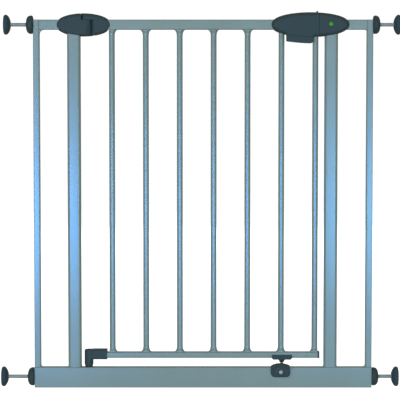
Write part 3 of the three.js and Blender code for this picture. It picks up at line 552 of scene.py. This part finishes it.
def hand_nut(side):
    """A hand wheel, flat towards the frame and domed outwards, with shallow grip flutes."""
    name = f"hand_nut_{side}"
    low, high = box_mm(name)
    radius = (high.z - low.z) / 2
    depth = high.x - low.x
    bore = NUT_BORE_RADIUS
    profile = [
        (bore, 0.0),
        (radius * 0.86, 0.0),
        (radius, 1.7),
        (radius, depth * 0.43),
        (radius * 0.955, depth * 0.62),
        (radius * 0.84, depth * 0.81),
        (radius * 0.66, depth * 0.93),
        (radius * 0.46, depth),
        (bore + 0.6, depth),
        (bore, depth - 0.6),
    ]
    sign = outwards(name)
    start = low.x if sign > 0 else high.x
    at = (start, (low.y + high.y) / 2, (low.z + high.z) / 2)
    verts, faces = lathe(
        soften(profile, 1.6, 4, closed=True),
        168,
        closed=True,
        flutes=NUT_FLUTES,
        flute_depth=NUT_FLUTE_DEPTH,
        fluted_from=radius * 0.9,
    )
    laid = along((sign, 0, 0), at)
    place_mesh(f"nut_{side}", verts, faces, f"nut_{side}", "slate_plastic", [name], laid)


def threaded_rod(side):
    """A zinc-plated rod with a right-hand thread along its whole length."""
    name = f"spindle_rod_{side}"
    low, high = box_mm(name)
    crest = (high.z - low.z) / 2
    length = high.x - low.x
    segments = 24
    per_pitch = 8
    count = int(length / THREAD_PITCH * per_pitch)
    rings = [[(0.0, 0.0, 0.0)]]
    for step in range(count + 1):
        height = length * step / count
        ends = min(1.0, height / THREAD_PITCH, (length - height) / THREAD_PITCH)
        ring = []
        for i in range(segments):
            angle = 2 * math.pi * i / segments
            phase = height / THREAD_PITCH - i / segments
            tooth = min(1.0, max(0.0, 0.5 + 0.8 * math.cos(2 * math.pi * phase)))
            radius = crest - THREAD_DEPTH * (1 - tooth * ends)
            ring.append((radius * math.cos(angle), radius * math.sin(angle), height))
        rings.append(ring)
    rings.append([(0.0, 0.0, length)])
    verts, faces = skin(rings)
    at = (low.x, (low.y + high.y) / 2, (low.z + high.z) / 2)
    laid = along((1, 0, 0), at)
    place_mesh(f"rod_{side}", verts, faces, f"spindle_{side}", "zinc_plate", [name], laid)


for side in SIDES:
    wall_pad(side)
    hand_nut(side)
    threaded_rod(side)


# ---------------------------------------------------------------- springs
def coil_spring(name, axis, turns, wire, anchor_end):
    """A round-wire compression spring, wound along one axis of its CAD node."""
    low, high = box_mm(name)
    index = "xyz".index(axis)
    length = high[index] - low[index]
    others = [i for i in range(3) if i != index]
    radius = (high[others[0]] - low[others[0]]) / 2 - wire
    start = (low + high) / 2
    start[index] = low[index]
    direction = Vector((0.0, 0.0, 0.0))
    direction[index] = 1.0
    steps_per_turn = 32
    around = 10
    steps = turns * steps_per_turn
    up = Vector((0.0, 0.0, 1.0))
    rings = []
    for step in range(steps + 1):
        t = step / steps
        angle = t * turns * 2 * math.pi
        height = wire + t * (length - 2 * wire)
        out = Vector((math.cos(angle), math.sin(angle), 0.0))
        centre = out * radius + Vector((0.0, 0.0, height))
        rings.append(
            [
                tuple(centre + (out * math.cos(a) + up * math.sin(a)) * wire)
                for a in (2 * math.pi * i / around for i in range(around))
            ]
        )
    rings.insert(0, [tuple(sum((Vector(p) for p in rings[0]), Vector()) / around)])
    rings.append([tuple(sum((Vector(p) for p in rings[-1]), Vector()) / around)])
    verts, faces = skin(rings)
    laid = along(direction, start)
    spring = place_mesh(f"coil_{name}", verts, faces, "door", "spring_steel", [name], laid)
    anchor = (low + high) / 2
    anchor[index] = low[index] if anchor_end == "low" else high[index]
    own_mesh(spring)


coil_spring("bolt_spring", "x", 7, 0.45, "low")
coil_spring("handle_spring", "z", 8, 0.45, "high")
coil_spring("thumb_slide_spring", "x", 7, 0.35, "low")


# ---------------------------------------------------------------- small fasteners
def housing_screw(name, body):
    """A pan-head screw with a cross recess, seen on the rear of a housing."""
    low, high = box_mm(name)
    seat = high.y - low.y - SCREW_HEAD_HEIGHT
    rim = seat + SCREW_RIM_HEIGHT
    segments = 72
    head_steps = 18
    profile = [
        (SCREW_SHANK_RADIUS * 0.55, 0.3),
        (SCREW_SHANK_RADIUS, 1.6),
        (SCREW_SHANK_RADIUS, seat),
        (SCREW_HEAD_RADIUS, seat),
        (SCREW_HEAD_RADIUS, rim),
    ]
    rings = [[(0.0, 0.0, 0.0)]]
    for radius, height in profile:
        rings.append(circle(radius, height, segments))
    for step in range(1, head_steps):
        radius = SCREW_HEAD_RADIUS * (1 - step / head_steps)
        share = radius / SCREW_HEAD_RADIUS
        bulge = math.sqrt(max(0.0, 1 - share**2.4))
        dome = rim + (SCREW_HEAD_HEIGHT - SCREW_RIM_HEIGHT) * bulge
        ring = []
        for x, y, _ in circle(radius, 0.0, segments):
            near, far = sorted((abs(x), abs(y)))
            in_cross = near < CROSS_HALF_WIDTH and far < CROSS_HALF_LENGTH
            ring.append((x, y, dome - (CROSS_DEPTH if in_cross else 0.0)))
        rings.append(ring)
    rings.append([(0.0, 0.0, seat + SCREW_HEAD_HEIGHT - CROSS_DEPTH)])
    verts, faces = skin(rings)
    at = ((low.x + high.x) / 2, low.y, (low.z + high.z) / 2)
    place_mesh(f"cross_{name}", verts, faces, body, "zinc_plate", [name], along((0, 1, 0), at))


for name, body in (
    ("hinge_post_screw", "frame"),
    ("hinge_door_screw", "door"),
    ("latch_screw", "door"),
    ("strike_screw", "frame"),
):
    housing_screw(name, body)


def stop_rivet():
    """The rivet's rounded head, seen on the front of the stop block."""
    low, high = box_mm("swing_stop_rivet")
    radius = (high.z - low.z) / 2
    length = high.y - low.y
    profile = [
        (0.0, 0.0),
        (radius * 0.42, 0.10),
        (radius * 0.80, 0.55),
        (radius, 1.35),
        (radius, 2.0),
        (radius * 0.5, 2.0),
        (radius * 0.5, length),
        (0.0, length),
    ]
    at = ((low.x + high.x) / 2, low.y, (low.z + high.z) / 2)
    verts, faces = lathe(soften(profile, 0.5), 48)
    laid = along((0, 1, 0), at)
    place_mesh("rivet", verts, faces, "frame", "zinc_plate", ["swing_stop_rivet"], laid)


def indicator_lens():
    """A domed lens with a flanged rim that stands just proud of its window."""
    low, high = box_mm("indicator_lens")
    flange = (high.z - low.z) / 2
    radius = flange - LENS_FLANGE_WIDTH
    depth = high.y - low.y
    seat = depth - LENS_FLANGE_DEPTH
    steps = 8
    profile = [(0.0, 0.0)]
    for step in range(1, steps + 1):
        share = step / steps
        fall = LENS_DOME_HEIGHT * (1 - math.sqrt(max(0.0, 1 - share**2)))
        profile.append((radius * share, fall))
    profile += [(radius, seat), (flange, seat), (flange, depth), (0.0, depth)]
    at = ((low.x + high.x) / 2, low.y, (low.z + high.z) / 2)
    verts, faces = lathe(profile, 48)
    laid = along((0, 1, 0), at)
    place_mesh("lens", verts, faces, "frame", "clear_green", ["indicator_lens"], laid)


def stop_pin():
    low, high = box_mm("stop_pin")
    radius = (high.x - low.x) / 2
    length = high.z - low.z
    profile = [(0.0, 0.0), (radius * 0.62, 0.0), (radius, 1.4), (radius, length), (0.0, length)]
    at = ((low.x + high.x) / 2, (low.y + high.y) / 2, low.z)
    verts, faces = lathe(soften(profile, 0.5), 40)
    laid = along((0, 0, 1), at)
    place_mesh("pin_of_stop", verts, faces, "door", "zinc_plate", ["stop_pin"], laid)


stop_rivet()
indicator_lens()
stop_pin()


# ---------------------------------------------------------------- swing stop block
def quarter_turn(centre_x, centre_z, radius, start):
    """Points on a quarter circle that begins at an angle and runs anticlockwise."""
    steps = 12
    points = []
    for step in range(steps + 1):
        angle = start + (math.pi / 2) * step / steps
        points.append((centre_x + radius * math.cos(angle), centre_z + radius * math.sin(angle)))
    return points


def stop_outline(inset):
    """The block's outline, pulled in by inset: round lower corners and an arched top."""
    low, high = box_mm("swing_stop")
    left, right = low.x + inset, high.x - inset
    bottom, top = low.z + inset, high.z - inset
    corner = max(STOP_CORNER_RADIUS - inset, 1.0)
    shoulder = top - STOP_SHOULDER_DROP
    points = quarter_turn(right - corner, bottom + corner, corner, -math.pi / 2)
    points.append((right, shoulder - 1.0))
    start, end = (right - 1.4, shoulder + 0.6), (left + 1.4, shoulder + 0.6)
    control = ((left + right) / 2, 2 * top - shoulder - 0.6)
    steps = 16
    for step in range(steps + 1):
        t = step / steps
        a, b, c = (1 - t) ** 2, 2 * t * (1 - t), t**2
        points.append(tuple(a * start[k] + b * control[k] + c * end[k] for k in range(2)))
    points.append((left, shoulder - 1.0))
    points += quarter_turn(left + corner, bottom + corner, corner, math.pi)
    return points


def reach_to(outline, centre, angle):
    """The distance from a point inside an outline to the outline, at an angle."""
    dx, dz = math.cos(angle), math.sin(angle)
    for i, (x0, z0) in enumerate(outline):
        x1, z1 = outline[(i + 1) % len(outline)]
        ex, ez = x1 - x0, z1 - z0
        across = dx * ez - dz * ex
        if abs(across) < 1e-9:
            continue
        t = ((x0 - centre[0]) * ez - (z0 - centre[1]) * ex) / across
        s = ((x0 - centre[0]) * dz - (z0 - centre[1]) * dx) / across
        if t > 0 and -1e-6 <= s <= 1 + 1e-6:
            return t
    return 0.0


def swing_stop():
    """The stop block with its rounded front edge, raised border and seat for the rivet."""
    low, high = box_mm("swing_stop")
    axis = centre_mm("swing_stop_rivet")
    centre = (axis.x, axis.z)
    segments = 144
    angles = [-2 * math.pi * i / segments for i in range(segments)]
    edge = STOP_EDGE_RADIUS
    edge_steps = 6
    chamfer = STOP_BACK_CHAMFER
    rows = [("outline", chamfer, high.y), ("outline", 0.0, high.y - chamfer)]
    for step in range(edge_steps + 1):
        angle = (math.pi / 2) * step / edge_steps
        inset, rise = edge * (1 - math.cos(angle)), edge * (1 - math.sin(angle))
        rows.append(("outline", inset, low.y + rise))
    rows += [("outline", 3.6, low.y), ("outline", 4.4, low.y + 0.5), ("outline", 5.0, low.y + 0.9)]
    rows += [("round", 7.4, low.y + 0.9), ("round", 6.8, low.y + 0.5), ("round", 6.0, low.y + 0.35)]
    rows += [("round", 4.8, low.y + 0.4), ("round", 4.6, low.y + 0.7), ("round", 4.6, low.y + 1.8)]
    rows += [("round", 2.4, low.y + 1.8), ("round", 2.4, high.y)]
    rings = []
    for kind, size, y in rows:
        outline = stop_outline(size) if kind == "outline" else None
        ring = []
        for angle in angles:
            reach = reach_to(outline, centre, angle) if outline else size
            x, z = reach * math.cos(angle), reach * math.sin(angle)
            ring.append((centre[0] + x, y, centre[1] + z))
        rings.append(ring)
    verts, faces = skin(rings, closed=True)
    place_mesh("stop_block", verts, faces, "stop", "slate_plastic", ["swing_stop"])


swing_stop()


# ---------------------------------------------------------------- studio
def glowing_white(name, base, strength):
    material = bpy.data.materials.new(name)
    material.use_nodes = True
    shader = material.node_tree.nodes["Principled BSDF"]
    shader.inputs["Base Color"].default_value = (base, base, base, 1.0)
    shader.inputs["Roughness"].default_value = 1.0
    shader.inputs["Specular IOR Level"].default_value = 0.0
    shader.inputs["Emission Color"].default_value = (1.0, 1.0, 1.0, 1.0)
    shader.inputs["Emission Strength"].default_value = strength
    return material


def stage_surface(name, verts, faces, material):
    """Adds a surface that the camera alone sees, so that it lights nothing."""
    mesh = bpy.data.meshes.new(name)
    mesh.from_pydata(verts, [], faces)
    mesh.materials.append(material)
    surface_object = bpy.data.objects.new(name, mesh)
    surface_object.visible_diffuse = False
    surface_object.visible_glossy = False
    surface_object.visible_transmission = False
    surface_object.visible_shadow = False
    bpy.context.scene.collection.objects.link(surface_object)


def white_backdrop():
    """A sphere round the whole studio."""
    segments, rows = 48, 24
    rings = [[(0.0, 0.0, -BACKDROP_RADIUS)]]
    for row in range(1, rows):
        angle = -math.pi / 2 + math.pi * row / rows
        reach, height = BACKDROP_RADIUS * math.cos(angle), BACKDROP_RADIUS * math.sin(angle)
        rings.append(circle(reach, height, segments))
    rings.append([(0.0, 0.0, BACKDROP_RADIUS)])
    verts, faces = skin(rings)
    stage_surface("backdrop", verts, faces, glowing_white("backdrop_white", 0.0, 1.05))


def pale_floor():
    quadrants = ((-1, -1), (1, -1), (1, 1), (-1, 1))
    corners = [(x * FLOOR_HALF, y * FLOOR_HALF, -FLOOR_DROP) for x, y in quadrants]
    stage_surface("floor", corners, [(0, 1, 2, 3)], glowing_white("floor_pale", 0.5, 1.0))


def softbox(name, at, target, width, height, power, colour):
    light = bpy.data.lights.new(name, "AREA")
    light.shape = "RECTANGLE"
    light.size = width
    light.size_y = height
    light.energy = power
    light.color = colour
    lamp = bpy.data.objects.new(name, light)
    lamp.location = at
    lamp.rotation_euler = (Vector(target) - Vector(at)).to_track_quat("-Z", "Y").to_euler()
    lamp.visible_camera = False
    bpy.context.scene.collection.objects.link(lamp)
    return lamp


def studio_lights():
    """Soft lights that give the shading, and blue strips that are seen in gloss alone."""
    for name, at, *rest in SOFT_LIGHTS:
        softbox(name, at, STUDIO_MIDDLE, *rest).visible_glossy = False
    for name, at, *rest in SKY_STRIPS:
        softbox(name, at, (at[0], 0.0, at[2]), *rest).visible_diffuse = False
    world = bpy.data.worlds.new("studio")
    world.use_nodes = True
    background = world.node_tree.nodes["Background"]
    background.inputs["Color"].default_value = (0.92, 1.0, 1.0, 1.0)
    background.inputs["Strength"].default_value = 0.30
    bpy.context.scene.world = world


def camera():
    tilt = math.radians(CAMERA_ELEVATION)
    away = Vector((0.0, -math.cos(tilt), math.sin(tilt))) * CAMERA_DISTANCE
    data = bpy.data.cameras.new("camera")
    data.lens = CAMERA_LENS
    view = bpy.data.objects.new("camera", data)
    view.location = CAMERA_TARGET + away
    view.rotation_euler = (-away).to_track_quat("-Z", "Y").to_euler()
    bpy.context.scene.collection.objects.link(view)
    bpy.context.scene.camera = view


white_backdrop()
pale_floor()
studio_lights()
camera()
bpy.context.scene.view_settings.view_transform = "Standard"
